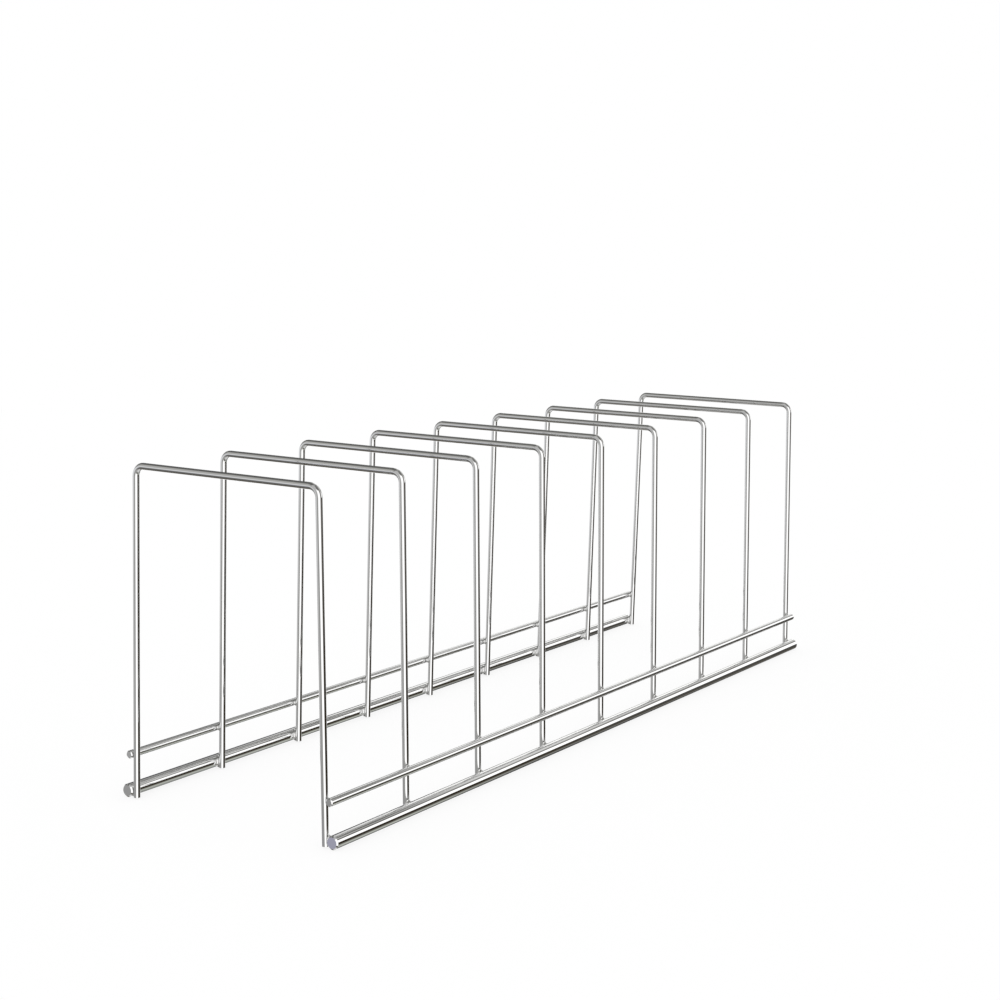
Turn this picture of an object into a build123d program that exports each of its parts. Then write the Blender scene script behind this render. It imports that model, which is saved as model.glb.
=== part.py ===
from build123d import *
import os
from math import atan2, cos, degrees, sin, sqrt, tan

# A free-standing wire plate rack: a row of upright hoops, each bent from one length of wire, whose legs
# stand against two rails on each side and are welded to them. Lengths are in millimetres. X runs across
# the rack, Y along its rails and Z up from the table. The origin is on the table, under the middle.

# Wire stock
hoop_wire = 3.0
upper_rail_wire = 3.6
lower_rail_wire = 6.0

# The rack as a whole
rack_height = 150.0
slot_count = 8
hoop_pitch = 54.7

# One hoop, measured between the axes of its legs
hoop_top_span = 101.2
hoop_foot_span = 107.4
hoop_bend_inside = 3.0
leg_end_gap = 0.55

# The rails: the lower pair stands on the table
upper_rail_height = 19.7
upper_rail_chamfer = 0.4
lower_rail_chamfer = 0.55

# The welds: the gap that they bridge between a leg and its rail, how far they spread round the two wires,
# given as the radius of a round fillet that would touch the same lines, and the bevel of their corners
weld_gap = 0.05
upper_weld_reach = 0.9
lower_weld_reach = 1.4
weld_bevel_share = 0.7

# Worked out from the sizes above
hoop_count = slot_count + 1
leg_radius = hoop_wire / 2
top_axis_height = rack_height - leg_radius
half_top_span = hoop_top_span / 2
half_foot_span = hoop_foot_span / 2
leg_rise = top_axis_height - leg_end_gap
splay = atan2(half_foot_span - half_top_span, leg_rise)
last_hoop_y = slot_count * hoop_pitch / 2
rail_length = 2 * (last_hoop_y + leg_radius)
hoop_places = [hoop_pitch * number - last_hoop_y for number in range(hoop_count)]

# Each pair of rails: its wire, the height of its axis, and its end and weld
rail_kinds = {
    "lower": {
        "radius": lower_rail_wire / 2,
        "height": lower_rail_wire / 2,
        "chamfer": lower_rail_chamfer,
        "reach": lower_weld_reach,
    },
    "upper": {
        "radius": upper_rail_wire / 2,
        "height": upper_rail_height,
        "chamfer": upper_rail_chamfer,
        "reach": upper_weld_reach,
    },
}
side_signs = {"left": -1, "right": 1}


def leg_axis_x(height):
    """Half the distance between the two leg axes of a hoop at a height above the table."""
    return half_foot_span - (height - leg_end_gap) * tan(splay)


def seat_distance(kind):
    """From a leg's axis to the axis of the rail that it is welded to."""
    return leg_radius + weld_gap + kind["radius"]


def rail_x(kind):
    """Where a right-hand rail's axis lies, so that it stands against the outer side of every leg."""
    return leg_axis_x(kind["height"]) + seat_distance(kind) / cos(splay)


def make_rail(kind, side):
    """A straight rod along Y with both ends chamfered."""
    rod = Rot(90, 0, 0) * Cylinder(kind["radius"], rail_length)
    rod = chamfer(rod.edges().filter_by(GeomType.CIRCLE), kind["chamfer"])
    return Pos(side * rail_x(kind), 0, kind["height"]) * rod


def make_hoop():
    """One hoop at the middle of the rack: a round wire, cut square at both ends and bent twice."""
    outline = Plane.XZ * FilletPolyline(
        (-half_foot_span, leg_end_gap),
        (-half_top_span, top_axis_height),
        (half_top_span, top_axis_height),
        (half_foot_span, leg_end_gap),
        radius=hoop_bend_inside + leg_radius,
    )
    start = Plane(origin=outline @ 0, z_dir=outline % 0)
    return sweep(start * Circle(leg_radius), path=outline)


def make_weld_block(kind):
    """A weld before the wires are taken from it, with the leg's axis on Z and the rail on its +X side.

    It starts on the flanks of the leg and ends over and under the rail, on the lines where a round fillet
    would touch them, and has flat sides and bevelled corners in between.
    """
    reach = kind["reach"]
    fillet_from_leg = seat_distance(kind) - kind["radius"] - reach
    fillet_from_rail = seat_distance(kind) - leg_radius - reach
    half_width = sqrt((leg_radius + reach) ** 2 - fillet_from_leg**2)
    half_height = sqrt((kind["radius"] + reach) ** 2 - fillet_from_rail**2)
    leg_part = leg_radius / (leg_radius + reach)
    rail_part = kind["radius"] / (kind["radius"] + reach)

    start_x = fillet_from_leg * leg_part
    end_x = seat_distance(kind) - fillet_from_rail * rail_part
    start_half_width = half_width * leg_part
    end_half_height = half_height * rail_part
    block = Wedge(
        2 * start_half_width,
        end_x - start_x,
        2 * half_height,
        start_half_width - half_width,
        half_height - end_half_height,
        start_half_width + half_width,
        half_height + end_half_height,
    )
    block = Pos((start_x + end_x) / 2, 0, 0) * Rot(0, 0, -90) * block
    corners = block.edges().group_by(Axis.X)[1]
    return chamfer(corners, weld_bevel_share * min(start_half_width, end_half_height))


def make_weld(kind):
    """The weld between a right-hand leg and its rail, at the middle of the rack."""
    longer = 2 * (hoop_wire + 2 * kind["radius"] + kind["reach"])
    weld = make_weld_block(kind) - Cylinder(leg_radius, longer)
    weld -= Pos(seat_distance(kind), 0, 0) * Rot(90, 0, 0) * Cylinder(kind["radius"], longer)
    across = Vector(cos(splay), 0, sin(splay))
    leg_centre = Vector(rail_x(kind), 0, kind["height"]) - across * seat_distance(kind)
    return Pos(leg_centre) * Rot(0, -degrees(splay), 0) * weld


def make_weld_room():
    """Where welds may lie: above the legs' cut ends, and no further out than the axes of the end legs."""
    lowest = leg_end_gap + leg_radius * sin(splay)
    height_up = (Align.CENTER, Align.CENTER, Align.MIN)
    return Pos(0, 0, lowest) * Box(2 * hoop_foot_span, 2 * last_hoop_y, rack_height, align=height_up)


def make_hoop_welds(y):
    """The four welds of the hoop that stands at y, two on each side."""
    welds = []
    for right_weld in right_welds:
        weld = Pos(0, y, 0) * right_weld & weld_room
        welds += [weld, mirror(weld, about=Plane.YZ)]
    return Compound(label="welds", children=[solid for weld in welds for solid in weld.solids()])


# Build every piece once, where it stands
os.makedirs("parts", exist_ok=True)
for name, kind in rail_kinds.items():
    for side, sign in side_signs.items():
        export_step(make_rail(kind, sign), f"parts/{name}_rail_{side}.step")

hoop = make_hoop()
right_welds = [make_weld(kind) for kind in rail_kinds.values()]
weld_room = make_weld_room()
for number, y in enumerate(hoop_places, start=1):
    export_step(Pos(0, y, 0) * hoop, f"parts/hoop_{number}.step")
    export_step(make_hoop_welds(y), f"parts/welds_hoop_{number}.step")
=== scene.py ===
from math import acos, copysign, cos, pi, radians, sin, sqrt

import bmesh
import bpy
from mathutils import Matrix, Vector


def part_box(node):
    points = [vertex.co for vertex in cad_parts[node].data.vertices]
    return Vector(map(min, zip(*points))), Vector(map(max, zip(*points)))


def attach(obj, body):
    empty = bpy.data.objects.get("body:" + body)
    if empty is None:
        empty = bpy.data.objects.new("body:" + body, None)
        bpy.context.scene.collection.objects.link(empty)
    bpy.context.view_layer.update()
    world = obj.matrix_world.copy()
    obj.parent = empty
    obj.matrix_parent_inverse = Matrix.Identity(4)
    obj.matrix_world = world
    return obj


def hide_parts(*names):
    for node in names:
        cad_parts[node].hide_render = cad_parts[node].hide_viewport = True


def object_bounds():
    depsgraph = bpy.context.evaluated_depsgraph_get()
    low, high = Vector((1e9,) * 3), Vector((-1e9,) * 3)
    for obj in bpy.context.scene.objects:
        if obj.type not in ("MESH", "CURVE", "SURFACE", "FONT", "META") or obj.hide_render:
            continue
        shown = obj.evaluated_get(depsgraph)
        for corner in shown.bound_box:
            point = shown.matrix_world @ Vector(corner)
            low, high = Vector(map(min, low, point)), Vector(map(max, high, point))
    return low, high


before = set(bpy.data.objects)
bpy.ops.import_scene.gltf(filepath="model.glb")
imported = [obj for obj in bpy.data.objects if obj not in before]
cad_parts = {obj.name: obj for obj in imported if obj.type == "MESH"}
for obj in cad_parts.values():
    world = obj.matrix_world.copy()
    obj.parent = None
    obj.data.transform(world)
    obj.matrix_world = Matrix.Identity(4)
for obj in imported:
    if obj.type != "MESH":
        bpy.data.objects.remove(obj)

cad_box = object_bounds()

# Lengths are in metres and angles in degrees, apart from the camera's lens and sensor, in millimetres.

# The camera, solved from the edges of the wires in the photograph. Yaw turns it to the left of the rails'
# direction, pitch tips it down and roll leans it.
camera_place = Vector((0.50220, -0.76161, 0.25097))
camera_yaw = -33.902
camera_pitch = 8.649
camera_roll = -0.725
camera_lens = 64.364
camera_sensor = 36.0
camera_nearest = 0.01

# The floor lies a little under the rack, and shows a share of its shadow
floor_radius = 1.6
floor_sides = 96
floor_drop = 0.0002
shadow_share = 0.16
white = (1.0, 1.0, 1.0)

# The studio that the metal mirrors. The azimuth is 0 along +Y and 90 along +X. The elevation is 0 at the
# horizon, and goes from a quarter turn below it to a quarter turn above. A wall is a list of elevations and
# the colours there, blended in between. The side wall is all round, behind the others.
quarter_turn = 90
half_turn = 180
side_wall = [
    (-50, (0.10, 0.09, 0.07)),
    (-40, (0.08, 0.07, 0.05)),
    (-28, (0.24, 0.24, 0.23)),
    (-12, (0.45, 0.45, 0.45)),
    (-4, (0.78, 0.79, 0.82)),
    (2, (0.80, 0.81, 0.85)),
    (9, (0.46, 0.46, 0.47)),
    (18, (0.22, 0.22, 0.22)),
    (28, (0.13, 0.13, 0.125)),
    (40, (0.12, 0.12, 0.115)),
    (52, (0.16, 0.16, 0.155)),
]
rear_wall = [
    (-50, (0.46, 0.46, 0.45)),
    (-30, (0.42, 0.42, 0.41)),
    (-12, (0.36, 0.36, 0.35)),
    (4, (0.54, 0.54, 0.53)),
    (24, (0.60, 0.60, 0.59)),
    (50, (0.60, 0.60, 0.60)),
    (66, (0.48, 0.48, 0.47)),
]
back_wall = [
    (-50, (0.20, 0.185, 0.16)),
    (-43, (0.155, 0.15, 0.14)),
    (-33, (0.14, 0.14, 0.145)),
    (-24, (0.20, 0.20, 0.205)),
    (-18, (0.36, 0.36, 0.36)),
    (-12, (0.68, 0.68, 0.68)),
    (-6, (0.86, 0.87, 0.89)),
    (1, (0.90, 0.91, 0.93)),
    (8, (0.54, 0.54, 0.53)),
    (36, (0.52, 0.52, 0.50)),
    (50, (0.15, 0.15, 0.14)),
]
corner_wall = [
    (-46, (0.37, 0.38, 0.36)),
    (-40, (0.16, 0.16, 0.16)),
    (-35, (0.04, 0.04, 0.037)),
    (-30, (0.07, 0.066, 0.06)),
    (-20, (0.24, 0.24, 0.23)),
    (-10, (0.34, 0.34, 0.33)),
    (24, (0.62, 0.62, 0.61)),
    (31, (0.92, 0.92, 0.91)),
    (36.5, (0.88, 0.88, 0.87)),
    (39.5, (0.70, 0.70, 0.69)),
    (42, (0.40, 0.40, 0.39)),
    (52, (0.40, 0.40, 0.39)),
]
front_wall = [
    (-47, (0.33, 0.34, 0.32)),
    (-41, (0.52, 0.54, 0.50)),
    (-36, (0.66, 0.69, 0.61)),
    (-32, (0.44, 0.45, 0.41)),
    (-28, (0.17, 0.165, 0.15)),
    (-22, (0.07, 0.06, 0.042)),
    (-15, (0.035, 0.027, 0.017)),
    (-10, (0.03, 0.022, 0.012)),
    (22, (0.08, 0.07, 0.06)),
    (28.5, (0.27, 0.265, 0.25)),
    (31, (0.60, 0.60, 0.59)),
    (33.5, (0.90, 0.90, 0.89)),
    (38.5, (0.92, 0.92, 0.91)),
    (41, (0.08, 0.08, 0.07)),
    (43.5, (0.62, 0.62, 0.61)),
    (47, (0.55, 0.55, 0.54)),
    (54, (0.25, 0.25, 0.24)),
]

# Where the other walls stand, and the windows, lamps and dark frames in front of them, the later ones over
# the earlier. A span is its low end, its high end and its edges' width.
walls = [
    {"azimuth": (150, 200, 10), "colours": rear_wall},
    {"azimuth": (-200, -150, 16), "colours": rear_wall},
    {"azimuth": (-150, -106, 16), "colours": back_wall},
    {"azimuth": (-40, 6, 8), "colours": corner_wall},
    {"azimuth": (6, 100, 8), "colours": front_wall},
]
panels = [
    {"azimuth": (52, 102, 8), "elevation": (-10, 60, 8), "colour": (0.215, 0.205, 0.19)},
    {"azimuth": (14, 50, 5), "elevation": (-0.6, 22.5, 4), "colour": (1.5, 1.5, 1.5)},
    {"azimuth": (99, 162, 8), "elevation": (-36, 44, 12), "colour": (1.45, 1.45, 1.45)},
    {"azimuth": (95, 107, 6), "elevation": (-12, 44, 4), "colour": (1.45, 1.45, 1.45)},
    {"azimuth": (-46, -26, 4), "elevation": (24, 50, 5), "colour": (0.34, 0.34, 0.33)},
    {"azimuth": (-35, -17, 4), "elevation": (10.5, 31, 5), "colour": (1.38, 1.38, 1.36)},
    {"azimuth": (-27.5, -17, 4), "elevation": (28, 36, 4), "colour": (1.05, 1.05, 1.04)},
    {"azimuth": (28.5, 37, 3), "elevation": (25, 32, 3), "colour": (0.12, 0.115, 0.105)},
    {"azimuth": (10, 21, 4), "elevation": (37.4, 40.4, 1.6), "colour": (0.12, 0.12, 0.11)},
    {"azimuth": (19, 28, 4), "elevation": (31, 36.5, 3), "colour": (0.40, 0.40, 0.39)},
    {"azimuth": (-17, -7.5, 4), "elevation": (27, 54, 6), "colour": (0.12, 0.12, 0.11)},
    {"azimuth": (-54, -37, 3), "elevation": (-2, 27, 5), "colour": (0.05, 0.05, 0.06)},
    {"azimuth": (-54, -33, 3), "elevation": (-1, 12, 6), "colour": (0.08, 0.08, 0.08)},
    {"azimuth": (-30, -6, 14), "elevation": (-22, -7, 10), "colour": (1.1, 1.1, 1.1)},
    {"azimuth": (-84, -40, 24), "elevation": (-24, -5, 12), "colour": (1.15, 1.15, 1.16)},
    {"azimuth": (-52, -24, 12), "elevation": (-36, -7, 12), "colour": (1.5, 1.5, 1.52)},
    {"azimuth": (4, 17, 8), "elevation": (-37.5, -29, 4), "colour": (0.15, 0.15, 0.145)},
    {"azimuth": (20, 33.5, 4), "elevation": (-20, -5, 5), "colour": (0.09, 0.088, 0.085)},
    {"azimuth": (-200, 200, 2), "elevation": (-100, -61, 12), "colour": (0.8, 0.8, 0.8)},
    {"azimuth": (-144, -136, 2), "elevation": (-24, -18.8, 0.4), "colour": (0.42, 0.42, 0.52)},
]

# The welds: the radius of their hollow faces, how many points go round a face and how many steps across it,
# and how far inside the solid weld's box the end welds are trimmed
weld_fillets = {"lower": 0.0010, "upper": 0.0006}
weld_points = 48
weld_steps = 8
weld_trim = 0.00001

# How high a slice of a hoop's mesh is taken as one ring of points round its leg
ring_depth = 0.0005

# The finish of each kind of metal: its tint and roughness from low to high, and its relief
wire_finish = {
    "tint": ((0.735, 0.735, 0.735), (0.765, 0.765, 0.76)),
    "roughness": (0.01, 0.03),
    "relief_scale": 2500.0,
    "relief_strength": 0.2,
    "relief_height": 0.000002,
}
weld_finish = {
    "tint": ((0.69, 0.685, 0.675), (0.75, 0.75, 0.745)),
    "roughness": (0.03, 0.07),
    "relief_scale": 1300.0,
    "relief_strength": 0.3,
    "relief_height": 0.00002,
}

# The noises that vary the finish, in cells per metre, with their detail. Nearly all values of a noise lie in
# its range. The lines of drawn wire are a relief with line_stretch as many cells along the wire as across it.
tint_scale, tint_detail = 45.0, 2.0
haze_scale, haze_detail = 160.0, 3.0
relief_detail = 2.0
line_stretch = 0.01
noise_range = (0.3, 0.7)


def make_camera():
    """The photograph's camera, with square pixels and the middle of the picture on its axis."""
    yaw, pitch, roll = radians(camera_yaw), radians(camera_pitch), radians(camera_roll)
    forward = Vector((sin(yaw) * cos(pitch), cos(yaw) * cos(pitch), -sin(pitch)))
    level = Vector((cos(yaw), -sin(yaw), 0))
    down = forward.cross(level)
    right = cos(roll) * level + sin(roll) * down
    up = sin(roll) * level - cos(roll) * down
    camera = bpy.data.objects.new("camera", bpy.data.cameras.new("camera"))
    camera.data.lens = camera_lens
    camera.data.sensor_width = camera_sensor
    camera.data.clip_start = camera_nearest
    turn = Matrix((right, up, -forward)).transposed()
    camera.matrix_world = Matrix.Translation(camera_place) @ turn.to_4x4()
    bpy.context.scene.collection.objects.link(camera)
    bpy.context.scene.camera = camera


def link_all(tree, values):
    """Sets each socket to its value: a number, a colour or the output of another node."""
    for socket, value in values:
        if isinstance(value, bpy.types.NodeSocket):
            tree.links.new(value, socket)
        elif isinstance(value, tuple) and len(value) < len(socket.default_value):
            socket.default_value = (*value, 1)
        else:
            socket.default_value = value


def number_node(tree, operation, *values):
    """A Math node."""
    node = tree.nodes.new("ShaderNodeMath")
    node.operation = operation
    link_all(tree, zip(node.inputs, values))
    return node.outputs["Value"]


def soft_step(tree, value, start, end):
    """From 0 at start to 1 at end, with eased ends."""
    node = tree.nodes.new("ShaderNodeMapRange")
    node.interpolation_type = "SMOOTHSTEP"
    names = ("Value", "From Min", "From Max")
    link_all(tree, [(node.inputs[name], item) for name, item in zip(names, (value, start, end))])
    return node.outputs["Result"]


def window(tree, value, low, high, soft):
    """1 between low and high, 0 outside, with edges as wide as soft."""
    rise = soft_step(tree, value, low - soft / 2, low + soft / 2)
    fall = soft_step(tree, value, high + soft / 2, high - soft / 2)
    return number_node(tree, "MULTIPLY", rise, fall)


def blend(tree, share, first, second, kind="Color"):
    """First where share is 0 and second where it is 1. Both are colours, or vectors if kind is Vector."""
    node = tree.nodes.new("ShaderNodeMix")
    node.data_type = {"Color": "RGBA", "Vector": "VECTOR"}[kind]
    sockets = {item.identifier: item for item in (*node.inputs, *node.outputs)}
    names = ("Factor_Float", f"A_{kind}", f"B_{kind}")
    link_all(tree, [(sockets[name], item) for name, item in zip(names, (share, first, second))])
    return sockets[f"Result_{kind}"]


def parts_of(tree, vector):
    """The X, Y and Z of a vector."""
    node = tree.nodes.new("ShaderNodeSeparateXYZ")
    tree.links.new(vector, node.inputs["Vector"])
    return node.outputs


def vector_of(tree, x, y, z):
    """The vector with these parts."""
    node = tree.nodes.new("ShaderNodeCombineXYZ")
    link_all(tree, zip(node.inputs, (x, y, z)))
    return node.outputs["Vector"]


def noise(tree, vector, scale, detail):
    """A noise of so many cells per metre."""
    node = tree.nodes.new("ShaderNodeTexNoise")
    node.inputs["Scale"].default_value = scale
    node.inputs["Detail"].default_value = detail
    tree.links.new(vector, node.inputs["Vector"])
    return node.outputs["Fac"]


def scaled(tree, value, low=0.0, high=1.0):
    """A noise spread from low to high."""
    node = tree.nodes.new("ShaderNodeMapRange")
    names = ("Value", "From Min", "From Max", "To Min", "To Max")
    values = (value, *noise_range, low, high)
    link_all(tree, [(node.inputs[name], item) for name, item in zip(names, values)])
    return node.outputs["Result"]


def wall_colour(tree, elevation, stops):
    """The colour of a wall at an elevation, from a ramp that runs from straight down to straight up."""
    place = number_node(tree, "DIVIDE", number_node(tree, "ADD", elevation, quarter_turn), half_turn)
    node = tree.nodes.new("ShaderNodeValToRGB")
    node.color_ramp.interpolation = "LINEAR"
    elements = node.color_ramp.elements
    while len(elements) < len(stops):
        elements.new(position=0.5)
    for element, (degree, colour) in zip(elements, stops):
        element.position = (degree + quarter_turn) / half_turn
        element.color = (*colour, 1)
    tree.links.new(place, node.inputs["Fac"])
    return node.outputs["Color"]


def make_world():
    """White for the camera and for the floor's light, and the studio for what the metal mirrors."""
    world = bpy.data.worlds.new("studio")
    world.use_nodes = True
    tree = world.node_tree
    direction = parts_of(tree, tree.nodes.new("ShaderNodeTexCoord").outputs["Generated"])
    azimuth = number_node(tree, "DEGREES", number_node(tree, "ARCTAN2", direction["X"], direction["Y"]))
    elevation = number_node(tree, "DEGREES", number_node(tree, "ARCSINE", direction["Z"]))

    colour = wall_colour(tree, elevation, side_wall)
    for wall in walls:
        share = window(tree, azimuth, *wall["azimuth"])
        colour = blend(tree, share, colour, wall_colour(tree, elevation, wall["colours"]))
    for panel in panels:
        across = window(tree, azimuth, *panel["azimuth"])
        upright = window(tree, elevation, *panel["elevation"])
        colour = blend(tree, number_node(tree, "MULTIPLY", across, upright), colour, panel["colour"])

    mirrored = tree.nodes.new("ShaderNodeLightPath").outputs["Is Glossy Ray"]
    colour = blend(tree, mirrored, white, colour)
    tree.links.new(colour, tree.nodes["Background"].inputs["Color"])
    bpy.context.scene.world = world


def make_floor():
    """A plain white floor under the rack, which shows a little of the rack's shadow."""
    mesh = bpy.data.meshes.new("floor")
    turns = [radians(360 * number / floor_sides) for number in range(floor_sides)]
    rim = [(floor_radius * cos(turn), floor_radius * sin(turn), -floor_drop) for turn in turns]
    mesh.from_pydata(rim, [], [range(floor_sides)])
    floor = bpy.data.objects.new("floor", mesh)
    bpy.context.scene.collection.objects.link(floor)

    material = bpy.data.materials.new("floor")
    material.use_nodes = True
    tree = material.node_tree
    shader = tree.nodes["Principled BSDF"]
    shader.inputs["Base Color"].default_value = (*white, 1)
    shader.inputs["Roughness"].default_value = 1.0
    shader.inputs["Specular IOR Level"].default_value = 0.0
    glow = tree.nodes.new("ShaderNodeEmission")
    glow.inputs["Color"].default_value = (*white, 1)
    seen = tree.nodes.new("ShaderNodeLightPath").outputs["Is Camera Ray"]
    mix = tree.nodes.new("ShaderNodeMixShader")
    tree.links.new(number_node(tree, "MULTIPLY", seen, 1 - shadow_share), mix.inputs["Fac"])
    tree.links.new(shader.outputs["BSDF"], mix.inputs[1])
    tree.links.new(glow.outputs["Emission"], mix.inputs[2])
    tree.links.new(mix.outputs["Shader"], tree.nodes["Material Output"].inputs["Surface"])
    mesh.materials.append(material)
    floor.visible_glossy = False


def leg_line(hoop):
    """The right leg's axis, as the middles of its cut end and of the ring where its bend starts."""
    places = [vertex.co for vertex in hoop.data.vertices if vertex.co.x > 0]
    ends = []
    ring_top = 0.0
    for _ in range(2):
        lowest = min(place.z for place in places if place.z > ring_top)
        ring_top = lowest + ring_depth
        ring = [place for place in places if lowest <= place.z < ring_top]
        middles = [(min(values) + max(values)) / 2 for values in zip(*ring)]
        ends.append(Vector(middles))
    return ends


def weld_rings(leg_radius, rail_radius, apart, fillet):
    """Rings of points on the hollow face of a weld, from the leg to the rail.

    The leg's axis is Z and the rail's lies along Y at x = apart. A ball that rolls round their crossing
    touches both wires, and the face is the part of the ball between the two points of touch.
    """
    start_x = apart - rail_radius - fillet
    end_x = leg_radius + fillet
    rings = [[] for _ in range(weld_steps + 1)]
    for number in range(weld_points):
        turn = 2 * pi * (number + 0.5) / weld_points
        x = start_x * cos(turn) ** 2 + end_x * sin(turn) ** 2
        y = copysign(sqrt((leg_radius + fillet) ** 2 - x**2), cos(turn))
        z = copysign(sqrt((rail_radius + fillet) ** 2 - (apart - x) ** 2), sin(turn))
        ball = Vector((x, y, z))
        to_leg = Vector((-x, -y, 0)).normalized()
        to_rail = Vector((apart - x, 0, -z)).normalized()
        angle = acos(to_leg.dot(to_rail))
        for step, ring in enumerate(rings):
            part = step / weld_steps
            mixed = to_leg * sin((1 - part) * angle) + to_rail * sin(part * angle)
            ring.append(ball + mixed * fillet / sin(angle))
    return rings


def add_weld(mesh, place, rings, middle):
    """Adds one weld to a mesh: its hollow face, and two fans inside the wires that close it."""
    loops = [[mesh.verts.new(place @ point) for point in ring] for ring in rings]
    inner = mesh.verts.new(place @ middle)
    for first, second in zip(loops, loops[1:]):
        for number in range(weld_points):
            after = (number + 1) % weld_points
            face = mesh.faces.new((first[number], first[after], second[after], second[number]))
            face.smooth = True
    for number in range(weld_points):
        after = (number + 1) % weld_points
        mesh.faces.new((loops[0][after], loops[0][number], inner))
        mesh.faces.new((loops[-1][number], loops[-1][after], inner))


def cut_mesh(mesh, point, outward):
    """Cuts away what lies beyond a plane, and closes the cut."""
    parts = mesh.verts[:] + mesh.edges[:] + mesh.faces[:]
    bmesh.ops.bisect_plane(mesh, geom=parts, plane_co=point, plane_no=outward, clear_outer=True)
    bmesh.ops.holes_fill(mesh, edges=[edge for edge in mesh.edges if edge.is_boundary], sides=0)


def crossing(foot, head, rail):
    """Where a leg passes a rail, as a matrix whose Z runs up the leg and whose X runs to the rail's axis.

    The distance between the two axes comes with it. foot and head are the ends of the leg's axis, and rail
    is the point of the rail's axis beside the leg.
    """
    along = (head - foot).normalized()
    nearest = foot + along * (rail - foot).dot(along)
    across = (rail - nearest).normalized()
    turn = Matrix((across, along.cross(across), along)).transposed()
    return Matrix.Translation(nearest) @ turn.to_4x4(), (rail - nearest).length


def make_welds(number, material):
    """The four welds of one hoop, with the hollow faces of real ones, in place of the plain solids."""
    low, high = (Vector(corner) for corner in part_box(f"hoop_{number}"))
    leg_radius = (high.y - low.y) / 2
    hoop_y = (high.y + low.y) / 2
    leg_ends = leg_line(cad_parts[f"hoop_{number}"])
    mesh = bmesh.new()
    for name, fillet in weld_fillets.items():
        for side, sign in (("left", -1), ("right", 1)):
            rail_low, rail_high = (Vector(corner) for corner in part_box(f"{name}_rail_{side}"))
            rail_radius = (rail_high.z - rail_low.z) / 2
            rail = (rail_low + rail_high) / 2
            rail.y = hoop_y
            foot, head = (Vector((sign * end.x, hoop_y, end.z)) for end in leg_ends)
            place, apart = crossing(foot, head, rail)
            rings = weld_rings(leg_radius, rail_radius, apart, fillet)
            middle = Vector(((leg_radius + apart - rail_radius) / 2, 0, 0))
            add_weld(mesh, place, rings, middle)

    # The welds end at the sides and the bottom of the solid ones' box, which cuts those of an end hoop
    node = f"welds_hoop_{number}"
    low, high = (Vector(corner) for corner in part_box(node))
    inset = Vector((0, weld_trim, 0))
    cut_mesh(mesh, low + inset, Vector((0, -1, 0)))
    cut_mesh(mesh, high - inset, Vector((0, 1, 0)))
    cut_mesh(mesh, low, Vector((0, 0, -1)))
    bmesh.ops.recalc_face_normals(mesh, faces=mesh.faces[:])
    data = bpy.data.meshes.new(f"fillets_{number}")
    mesh.to_mesh(data)
    mesh.free()
    data.materials.append(material)
    piece = bpy.data.objects.new(f"fillets_{number}", data)
    bpy.context.scene.collection.objects.link(piece)
    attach(piece, "root")
    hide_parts(node)


def rail_lines(tree, place):
    """Lines that run along a straight rail."""
    parts = parts_of(tree, place)
    along = number_node(tree, "MULTIPLY", parts["Y"], line_stretch)
    return vector_of(tree, parts["X"], along, parts["Z"])


def hoop_lines(tree, place):
    """Lines that run up the sloping legs and along the top bar of a hoop, blended in its bends."""
    foot, head = leg_line(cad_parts["hoop_1"])
    slope = (foot.x - head.x) / (head.z - foot.z)
    bend_middle = (head.z + cad_box[1][2]) / 2
    parts = parts_of(tree, place)
    outward = number_node(tree, "ABSOLUTE", parts["X"])
    beside_leg = number_node(tree, "MULTIPLY_ADD", parts["Z"], slope, outward)
    up_leg = number_node(tree, "MULTIPLY", parts["Z"], line_stretch)
    along_top = number_node(tree, "MULTIPLY", parts["X"], line_stretch)
    leg = vector_of(tree, beside_leg, parts["Y"], up_leg)
    top = vector_of(tree, parts["Z"], parts["Y"], along_top)
    return blend(tree, soft_step(tree, parts["Z"], head.z, bend_middle), leg, top, kind="Vector")


def make_chrome(name, finish, lines=None):
    """Bright chrome plating, whose gloss and tint vary a little.

    A low relief shows in close views: the fine lines of drawn wire, where a function for lines is given,
    and otherwise the ripple of melted metal on a weld.
    """
    material = bpy.data.materials.new(name)
    material.use_nodes = True
    tree = material.node_tree
    place = tree.nodes.new("ShaderNodeTexCoord").outputs["Object"]
    relief_place = lines(tree, place) if lines else place

    tint = blend(tree, scaled(tree, noise(tree, place, tint_scale, tint_detail)), *finish["tint"])
    haze = scaled(tree, noise(tree, place, haze_scale, haze_detail), *finish["roughness"])
    relief = noise(tree, relief_place, finish["relief_scale"], relief_detail)
    bump = tree.nodes.new("ShaderNodeBump")
    bump.inputs["Strength"].default_value = finish["relief_strength"]
    bump.inputs["Distance"].default_value = finish["relief_height"]
    tree.links.new(relief, bump.inputs["Height"])

    shader = tree.nodes["Principled BSDF"]
    shader.inputs["Metallic"].default_value = 1.0
    tree.links.new(tint, shader.inputs["Base Color"])
    tree.links.new(haze, shader.inputs["Roughness"])
    tree.links.new(bump.outputs["Normal"], shader.inputs["Normal"])
    return material


make_camera()
make_floor()
make_world()
metals = {
    "hoop": make_chrome("hoop_chrome", wire_finish, hoop_lines),
    "rail": make_chrome("rail_chrome", wire_finish, rail_lines),
    "weld": make_chrome("weld_chrome", weld_finish),
}
for name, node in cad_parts.items():
    # The names of welds have the word hoop in them too, so weld comes first
    kind = next(word for word in ("weld", "rail", "hoop") if word in name)
    for place in node.material_slots:
        place.material = metals[kind]
for name in list(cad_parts):
    if name.startswith("welds_hoop_"):
        make_welds(int(name.removeprefix("welds_hoop_")), metals["weld"])
bpy.context.scene.view_settings.view_transform = "Standard"
